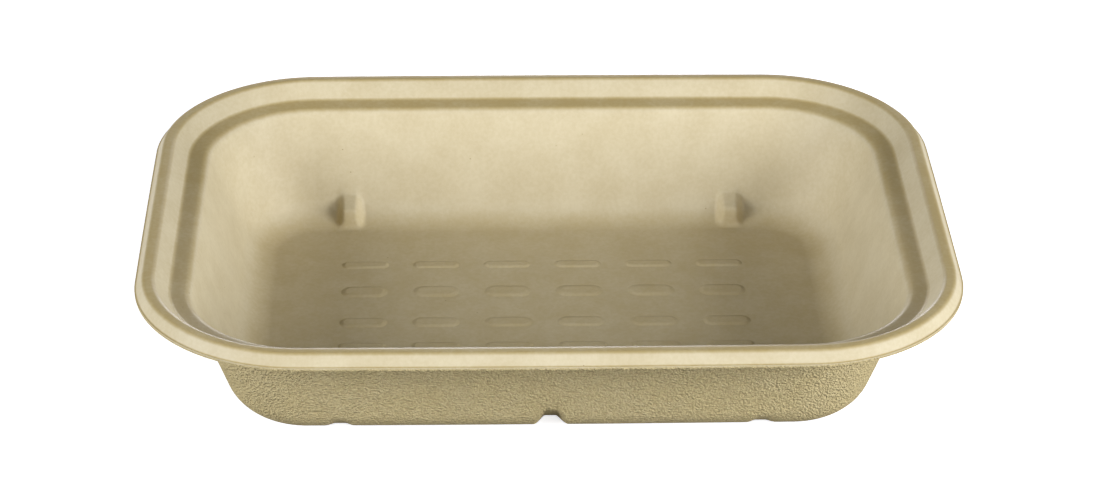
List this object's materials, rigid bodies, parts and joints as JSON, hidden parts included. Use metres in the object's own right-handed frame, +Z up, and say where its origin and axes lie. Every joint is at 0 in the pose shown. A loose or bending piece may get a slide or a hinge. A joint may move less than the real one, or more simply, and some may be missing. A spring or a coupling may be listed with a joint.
{
  "type": "moulded fibre take-out tray",
  "caption": "Shallow rectangular moulded-fibre food tray with rounded corners, sloping walls, a rolled rim with a lid ledge, and nesting lugs inside.",
  "frame": {"origin": "on the surface that the tray stands on, under the centre of its outline", "axes": "+X along the tray's length, +Y from the notched long side to the plain one, +Z up out of the opening"},
  "size_m": [0.22, 0.163, 0.038],
  "materials": {
    "moulded_fibre": "matte unbleached plant fibre, smooth inside and on the rim, fine wire texture outside"
  },
  "bodies": {
    "root": {"tray": "moulded_fibre"}
  },
  "joints": []
}
